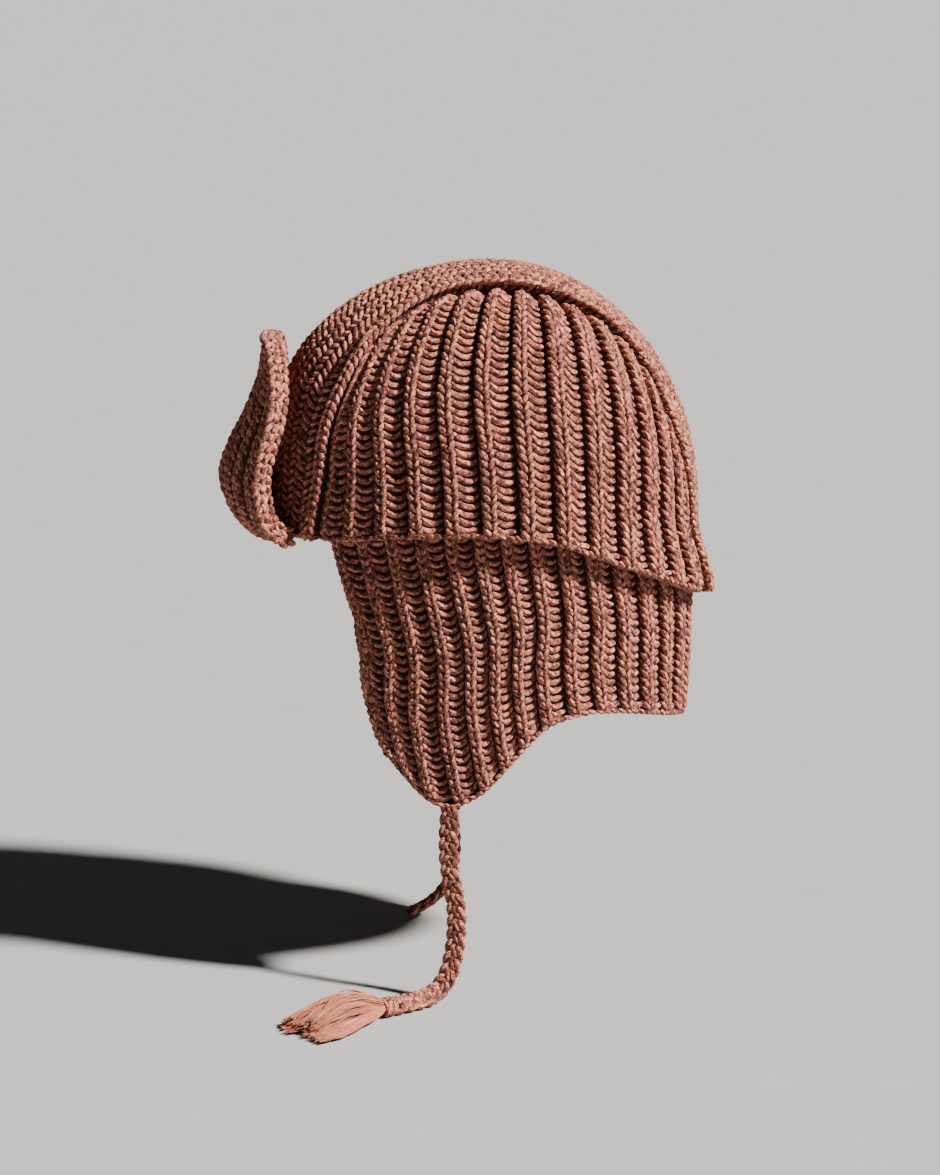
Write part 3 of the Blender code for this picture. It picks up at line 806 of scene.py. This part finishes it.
def rib_stitches(cloth, ribs, depth, **side):
    """All strands of rib knitting over a cloth, which ends in a rib at its far edge too."""
    legs = ((LEFT_LEG, YARN), (RIGHT_LEG, LINE_YARN))
    tubes = [knit(cloth, range(ribs), ribs, depth, leg, yarn, **side) for leg, yarn in legs]
    tubes.append(knit(cloth, range(ribs - 1), ribs, depth, LADDER_BAR, BAR_YARN, **side))
    for leg, yarn in legs:
        turned = leg * (-1, 1, 1) + (1, 0, 0)
        tubes.append(knit(cloth, (ribs - 1,), ribs, depth, turned, yarn, **side))
    return [(part, 0) for part in tubes]


# %% [markdown]
# ## What lies behind the stitches
#
# Between the stitches the cloth must not let light through, so a ribbed sheet lies just under
# them, painted nearly black as painted shade. It drops with the ladder and is deepest in the
# slit. The walls' inner faces and cut edges take the same painted-dark finish. At the hem a
# knitted wall does not stop at a cut: its last rows roll under, which gives the hat its thick
# soft edges.

# %% Backing and rolled edge
RIB_PLACES = np.array([0.00, 0.06, 0.32, 0.46, 0.66, 0.86, 0.94])  # shares across one rib
RIB_LEVELS = np.array([0.30, 0.92, 1.00, 0.83, 0.55, 0.38, 0.00])  # shares of its height
BACKING_LIFT = -0.0024  # the backing's crest lies this far under the face
ROLL_TURN = 1.75  # how far round the last rows go, in radians
ROLL_RADIUS = 0.0036


def backing(cloth, ribs, depth, wall, rows=44, inner_rows=96):
    """The cloth behind the stitches: a ribbed face, an inner face and its edges."""
    places = np.append((np.arange(ribs)[:, None] + RIB_PLACES).ravel() / ribs, 1.0)
    hollow = 1 - np.append(np.tile(RIB_LEVELS, ribs), RIB_LEVELS[0])
    across, down = np.meshgrid(places, np.linspace(0, 1, rows))
    outer, _ = cloth.at(across, down, BACKING_LIFT - (depth - 0.0004) * hollow)
    across, down = np.meshgrid(np.linspace(0, 1, ribs * 6 + 1), np.linspace(0, 1, inner_rows))
    share = across * ribs % 1
    bumps = np.abs(np.sin(math.pi * (down * inner_rows / 4 + 0.30 * np.sin(2 * math.pi * share))))
    ridge = np.sin(math.pi * share) ** 2
    inner, _ = cloth.at(across, down, -wall + 0.0018 * ridge - 0.0009 * bumps)
    parts = [(sheet_faces(outer), 1), (sheet_faces(inner, outward=False), 1)]
    run = np.linspace(0, 1, 90)
    for edge in ((run, 0 * run), (1 + 0 * run, run), (1 - run, 1 + 0 * run), (0 * run, 1 - run)):
        rim_strip = np.stack([cloth.at(*edge, lift)[0] for lift in (BACKING_LIFT, 0.001 - wall)])
        parts.append((sheet_faces(rim_strip, outward=False), 1))
    return parts


def shortened(cloth, by):
    """A cloth cut shorter at its lower edge."""
    rows, columns = cloth.grid.shape[:2]
    lengths = np.linalg.norm(np.diff(cloth.grid, axis=0), axis=-1).sum(axis=0)
    down = np.linspace(0, 1, rows)[:, None] * (1 - by / lengths)
    return Cloth(cloth.at(np.linspace(0, 1, columns)[None, :], down)[0])


def rolled(cloth, radius=ROLL_RADIUS):
    """A cloth whose lower edge rolls under and reaches as far down as before."""
    body = shortened(cloth, radius)
    edge, out = body.grid[-1], body.normals[-1]
    away = unit(edge - body.grid[-2])
    turn = np.linspace(0, ROLL_TURN, 8)[1:, None, None]
    roll = edge + radius * (away * np.sin(turn) - out * (1 - np.cos(turn)))
    return Cloth(np.concatenate([body.grid, roll]))


# %% [markdown]
# ## The side panels of the crown
#
# Thirteen ribs fan down from the seam to the rim. A patch filled from its four edges gives
# the fan: the seam above, the rim below, and the seam's two ends down the sides. The filled
# points are then pushed out to the crown's form.

# %% Side panels
SIDE_RIBS = 13
SIDE_DEPTH = 0.0062
SEAM_TUCK = 0.0034  # how far the seam pulls the panel's edge in
TUCK_REACH = 0.0050


def side_panel_grid(rows=110, columns=157):
    """The left side panel's face."""
    first, last = SEAM_CORNERS
    seam = panel_points(np.ones(300), np.linspace(first, last, 300))
    top_share = even_spread(seam[:, 1:2], columns)  # evenly from front to back
    top = panel_points(np.ones(columns), first + (last - first) * top_share)
    down = np.linspace(0, 1, rows)
    front = panel_points(np.ones(rows), first * (1 - down))
    back = panel_points(np.ones(rows), last + (1 - last) * down)
    ends = [math.atan2(point[0], -point[1]) for point in (front[-1], back[-1])]
    rim_share = even_spread(rim_points(np.linspace(*ends, 300)), columns)
    bottom = rim_points(ends[0] + (ends[1] - ends[0]) * rim_share)
    front[-1], back[-1] = bottom[0], bottom[-1]
    grid = filled(top, bottom, front, back)
    start = np.array([0, 0, CORE_LEVEL])
    face = reach_crown(np.broadcast_to(start, grid.shape), unit(grid - start))
    for edge in (np.s_[0, :], np.s_[-1, :], np.s_[:, 0], np.s_[:, -1]):
        face[edge] = grid[edge]
    run = np.linalg.norm(np.diff(face, axis=0, prepend=face[:1]), axis=-1).cumsum(axis=0)
    ways = np.linalg.norm(np.diff(face, axis=1, prepend=face[:, :1]), axis=-1).cumsum(axis=1)
    to_seam = np.minimum(run, np.minimum(ways, ways[:, -1:] - ways))
    tuck = SEAM_TUCK * np.exp(-(to_seam / TUCK_REACH) ** 2)
    return face - Cloth(face).normals * tuck[..., None]


def ribbed_panel(name, node, cloth, ribs, depth, wall, inner_rows=96):
    """A rib-knitted wall, which replaces its solid."""
    parts = backing(shortened(cloth, ROLL_RADIUS / 2), ribs, depth, wall, inner_rows=inner_rows)
    parts += rib_stitches(rolled(cloth), ribs, depth)
    piece = make_piece(name, parts, [yarn_wool, painted_shade_backing])
    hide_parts(node)
    return piece


left_side = Cloth(side_panel_grid())
right_side = Cloth(mirrored(left_side.grid))
ribbed_panel("ribbed_side_left", "crown_side_left", left_side, SIDE_RIBS,
             SIDE_DEPTH, CROWN_WALL)
ribbed_panel("ribbed_side_right", "crown_side_right", right_side, SIDE_RIBS,
             SIDE_DEPTH, CROWN_WALL)

# %% [markdown]
# ## The centre panel
#
# Over the top runs one long strip whose columns of stitches lie close together, with hardly a
# valley between them. It widens towards the forehead. The same tools make it, with a plain V
# that fills its column and a shallow relief.

# %% Centre panel
PANEL_RIBS = 10
PANEL_DEPTH = 0.0034

across, along = np.meshgrid(np.linspace(1, -1, 101), np.linspace(0, 1, 300))
center = Cloth(panel_points(across, along))
parts = backing(center, PANEL_RIBS, PANEL_DEPTH, CROWN_WALL, 90, 150)
for strand in (PLAIN_LEFT_LEG, PLAIN_RIGHT_LEG):
    parts.append((knit(center, range(PANEL_RIBS), PANEL_RIBS, PANEL_DEPTH, strand, YARN), 0))
top_panel = make_piece("knitted_top_panel", parts, [yarn_wool, painted_shade_backing])
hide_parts("crown_center_panel")

# %% [markdown]
# ## The ear flaps and neck band
#
# One ribbed strip runs from the front of one flap round the neck to the front of the other.
# It is sewn inside the crown's rim. Its lower edge drops to a rounded tip over each ear, and
# the ribs near the flap's front lean with that edge.

# %% Flaps and band
BAND_RIBS = 30
BAND_DEPTH = 0.0052
EDGE_ROLL = 0.0014  # the last stitches stand out this far past the wall's cut edge


def band_points(angle, level):
    """Points of the band's face, which starts inside the crown's rim."""
    rim = rim_level(angle)
    radius = wall_radius(angle, np.maximum(level, rim)) - CROWN_WALL - BAND_CLEARANCE
    radius = radius - FLAP_DRAW_IN * np.clip((rim - level) / FLAP_DROP, 0, 1) ** 1.5
    return np.stack([radius * np.sin(angle), -radius * np.cos(angle), level], -1)


def band_grid(rows=90, columns=181):
    """The left half of the band, from its front edge to the middle of the back."""
    run = np.linspace(0, 1, 300)
    front_table = np.column_stack([np.linspace(0, 1, len(FLAP_FRONT)), FLAP_FRONT])
    lower_table = np.column_stack([np.linspace(0, 1, len(LOWER_EDGE)), LOWER_EDGE])

    def line(table, share):
        level = -(CROWN_DEPTH + smooth_read(table, share, 2) * FLAP_DROP)
        return np.stack([np.radians(smooth_read(table, share, 1)), level], -1)

    bottom = line(lower_table, even_spread(band_points(*line(lower_table, run).T), columns))
    front = line(front_table, even_spread(band_points(*line(front_table, run).T), rows))
    bottom[:, 1] -= EDGE_ROLL
    front[:, 0] -= EDGE_ROLL / CROWN_HALF_BREADTH
    front[-1], bottom[0, 0] = (front[-1, 0], bottom[0, 1]), front[-1, 0]
    front[0, 1] = rim_level(front[0, 0]) + BAND_LAP
    top_angle = np.linspace(front[0, 0], math.pi, columns)
    top = np.stack([top_angle, rim_level(top_angle) + BAND_LAP], -1)
    back = np.stack([np.full(rows, math.pi), np.linspace(top[-1, 1], bottom[-1, 1], rows)], -1)
    return band_points(*np.moveaxis(filled(top, bottom, front, back), -1, 0))


half_band = band_grid()
band = Cloth(np.concatenate([half_band, mirrored(half_band)[:, 1:]], axis=1))
ribbed_panel("ribbed_flaps_and_band", "earflap_band", band, BAND_RIBS, BAND_DEPTH,
             BAND_WALL, 44)

# %% [markdown]
# ## The turned-up peak
#
# The peak is a thick double tongue of rib knit, sewn along the front rim and folded up in
# front of the crown. Its outline is rounded, its sides curve back round the forehead, and it
# bellies forward low down. Its sections are a short table from the root to the free edge.

# %% Peak
PEAK_HEIGHT = 0.0996
PEAK_REACH = 0.033
PEAK_HALF_WIDTH = 0.055
PEAK_BOW = 0.026
PEAK_WALL = 0.009
PEAK_CLEARANCE = 0.0004
PEAK_SEAT_DROP = 0.003
PEAK_RIBS = 8
PEAK_DEPTH = 0.0050
PEAK_EDGE = 0.03  # share of its width that the edge chains take on each side
PEAK_SECTIONS = np.array([
    (0.00, 0.000, 0.80, 0.55),
    (0.06, 0.000, 0.83, 0.56),
    (0.24, 0.004, 0.90, 0.60),
    (0.53, 0.105, 0.97, 0.60),
    (0.71, 0.250, 1.00, 0.71),
    (0.71, 0.356, 1.00, 0.70),
    (0.56, 0.489, 0.98, 0.60),
    (0.33, 0.638, 0.92, 0.48),
    (0.14, 0.793, 0.80, 0.31),
    (0.06, 0.915, 0.62, 0.17),
    (0.03, 1.000, 0.40, 0.08),
])


def peak_grid(rows=100, columns=97):
    """The peak's outer face, from its root to its free edge."""
    across = np.linspace(1, -1, columns)[None, :]
    section = np.linspace(0, 1, rows)
    table = np.column_stack([np.linspace(0, 1, len(PEAK_SECTIONS)), PEAK_SECTIONS])
    reach, height, width, bow = (smooth_read(table, section, c)[:, None] for c in (1, 2, 3, 4))
    x = across * width * PEAK_HALF_WIDTH
    front = wall_radius(0.0, rim_level(0.0)) + PEAK_CLEARANCE
    y = -(front + reach * PEAK_REACH) + bow * PEAK_BOW * across ** 2
    root = rim_level(np.arctan2(np.abs(x[0]), -y[0])) - PEAK_SEAT_DROP
    return np.stack([x, y, root[None, :] + height * PEAK_HEIGHT], -1)


peak = Cloth(peak_grid())
peak_parts = backing(peak, PEAK_RIBS, PEAK_DEPTH, PEAK_WALL, 44, 60)
del peak_parts[1]  # this inner face lies under stitches of its own
inner_face, _ = peak.at(*np.meshgrid(np.linspace(0, 1, 49), np.linspace(0, 1, 60)),
                        -PEAK_WALL + 0.0015)
peak_parts.append((sheet_faces(inner_face, outward=False), 1))
within = np.meshgrid(np.linspace(PEAK_EDGE, 1 - PEAK_EDGE, 97), np.linspace(0, 1 - PEAK_EDGE, 100))
peak_face = Cloth(peak.at(*within)[0])
peak_parts += rib_stitches(peak_face, PEAK_RIBS, PEAK_DEPTH)
peak_parts += rib_stitches(peak_face, PEAK_RIBS, PEAK_DEPTH * 0.35, inside=True, wall=PEAK_WALL)

# %% [markdown]
# ## Edges and seams
#
# A knitted edge is finished with a chain: V after V lying along the edge. The same chain,
# raised, closes the seams of the crown. A chain is made from two short strands repeated along
# a line, which carries its own side and up directions. A thick edge takes two chains side by
# side.

# %% Chains
CHAIN_LEG = np.array([
    (-0.25, 0.62, -0.35),
    (0.05, 0.66, 0.20),
    (0.40, 0.52, 0.62),
    (0.75, 0.28, 0.60),
    (1.05, 0.10, 0.10),
])


def chain(line, side, up, half_width, yarn=YARN, pitch=ROW_HEIGHT, sides=6):
    """V stitches along a line of points, with their side and up directions."""
    run = np.concatenate([[0], np.cumsum(np.linalg.norm(np.diff(line, axis=0), axis=1))])
    count = max(2, round(run[-1] / pitch))
    lines, outs = [], []
    for hand in (-1, 1):
        place = (np.arange(count)[:, None] + CHAIN_LEG[:, 0]
                 + 0.04 * rng.normal(size=(count, 1))) / count * run[-1]

        def read(values):
            return np.stack([np.interp(place, run, values[:, axis]) for axis in range(3)], -1)

        out = unit(read(up))
        lines.append(read(line) + unit(read(side)) * (hand * CHAIN_LEG[:, 1] * half_width)[:, None]
                     + out * (CHAIN_LEG[:, 2] * yarn)[:, None])
        outs.append(out)
    lines = np.concatenate(lines)
    thick = yarn * (1 + 0.05 * rng.normal(size=len(lines)))
    return yarn_tubes(lines, np.concatenate(outs), thick, sides)


def edge_chains(cloth, across, down, inward, wall, places=(0.27, 0.73), sunk=0.0006, **shape):
    """Two chains that cover a cloth's cut edge; inward is a step of shares into the cloth."""
    face, out = cloth.at(across, down)
    within, _ = cloth.at(across + inward[0], down + inward[1])
    away = unit(face - within)
    chains = []
    for place in places:
        line = face - out * wall * place - away * sunk
        chains.append((chain(line, out, away, wall * 0.36, **shape), 0))
    return chains


steps = np.linspace(0, 1, 240)
bold = {"yarn": 0.00175, "pitch": 0.0052, "sunk": 0.0004}
peak_parts += edge_chains(peak, 0 * steps, steps, (0.03, 0), PEAK_WALL, **bold)
peak_parts += edge_chains(peak, 0 * steps + 1, steps, (-0.03, 0), PEAK_WALL, **bold)
peak_parts += edge_chains(peak, steps, 0 * steps + 1, (0, -0.03), PEAK_WALL, **bold)
# The peak's stitches take the lighter copy of the wool, which is painted light.
peak_piece = make_piece("turned_up_peak", peak_parts, [painted_lit_wool, painted_shade_backing])
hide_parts("visor")

HEM_PLACES = (0.50, 0.82)
HEM_SUNK = 0.0016
rim_parts = []
for cloth in (left_side, right_side):
    rim_parts += edge_chains(cloth, steps, 0 * steps + 1, (0, -0.02), CROWN_WALL, HEM_PLACES,
                             HEM_SUNK)
for down, inward in ((0.0, 0.01), (1.0, -0.01)):
    rim_parts += edge_chains(center, steps, 0 * steps + down, (0, inward), CROWN_WALL,
                             HEM_PLACES, HEM_SUNK)
rim = make_piece("crown_rim_chain", rim_parts, [yarn_wool])

band_edge_parts = edge_chains(band, steps, 0 * steps + 1, (0, -0.02), BAND_WALL, HEM_PLACES,
                              HEM_SUNK)
for across, inward in ((0.0, 0.01), (1.0, -0.01)):
    band_edge_parts += edge_chains(band, 0 * steps + across, steps, (inward, 0), BAND_WALL,
                                   HEM_PLACES, HEM_SUNK)
band_edge = make_piece("flap_edge_chain", band_edge_parts, [yarn_wool])

seam_parts = []
for edge, inward in ((0.0, 0.02), (1.0, -0.02)):
    face, out = center.at(0 * steps + edge, steps)
    within, _ = center.at(0 * steps + edge + inward, steps)
    seam_side = unit(within - face)
    seam_parts.append((chain(face + seam_side * 0.0012 + out * 0.0006, seam_side, out, 0.0036), 0))
# The yarn's end, darned in loosely where the left side panel begins
TUFT_START = 0.235
TUFT_LENGTH = 0.045
reach = np.linspace(0, 1, 8)
fan = rng.uniform(-1, 1, (9, 1))
tuft, tuft_out = center.at(0.012 + 0.014 * fan * reach, TUFT_START + TUFT_LENGTH * reach + 0.004 * fan,
                           0.0014 + 0.0016 * np.sin(reach * 2.6))
seam_parts.append((yarn_tubes(tuft, tuft_out, 0.0006, 5, 0.6), 0))
# The seam chains take the lighter copy of the wool, which is painted light.
seams = make_piece("crown_seam_chains", seam_parts, [painted_lit_wool])

# %% [markdown]
# ## Surface and light
#
# The hat stands over a pale floor, held where a head would hold it, with the left tie's
# tassel on the surface. A single sun-like lamp, high on the right and a little behind, rakes
# across the ribs, so that their valleys turn dark towards the front. The pale surroundings
# only lift the shaded side a little.

# %% Floor
floor_level = cad_box[0][2] - 0.0002
floor_mesh = bpy.data.meshes.new("pale_floor")
FLOOR_REACH = 80.0  # far enough to fill the picture up to its top edge
floor_mesh.from_pydata([(x * FLOOR_REACH, y * FLOOR_REACH, floor_level)
                        for x, y in ((-1, -1), (1, -1), (1, 1), (-1, 1))], [], [(0, 1, 2, 3)])
floor = bpy.data.objects.new("pale_floor", floor_mesh)
bpy.context.scene.collection.objects.link(floor)
floor_finish = Finish("pale_paper", 0.8, 0.0)
grain = floor_finish.noise(floor_finish.place(), 30, 3)
floor_finish.feed("Base Color", floor_finish.ramp(grain, [(0.3, (0.32, 0.32, 0.32)),
                                                          (0.7, (0.34, 0.34, 0.34))]))
floor_mesh.materials.append(floor_finish.material)


# %% Lights
sun_data = bpy.data.lights.new("sun_lamp", "SUN")
sun_data.energy = 13.5
sun_data.angle = math.radians(5)
sun_data.color = (1.0, 0.965, 0.92)
sun = bpy.data.objects.new("sun_lamp", sun_data)
sun.rotation_euler = Vector((0.36, 0.65, 0.67)).to_track_quat("Z", "Y").to_euler()
bpy.context.scene.collection.objects.link(sun)
world = bpy.data.worlds.new("pale_room")
world.use_nodes = True
world.node_tree.nodes["Background"].inputs["Color"].default_value = (0.93, 0.94, 0.96, 1)
world.node_tree.nodes["Background"].inputs["Strength"].default_value = 0.06
bpy.context.scene.world = world
print("floor at", round(floor_level, 4))
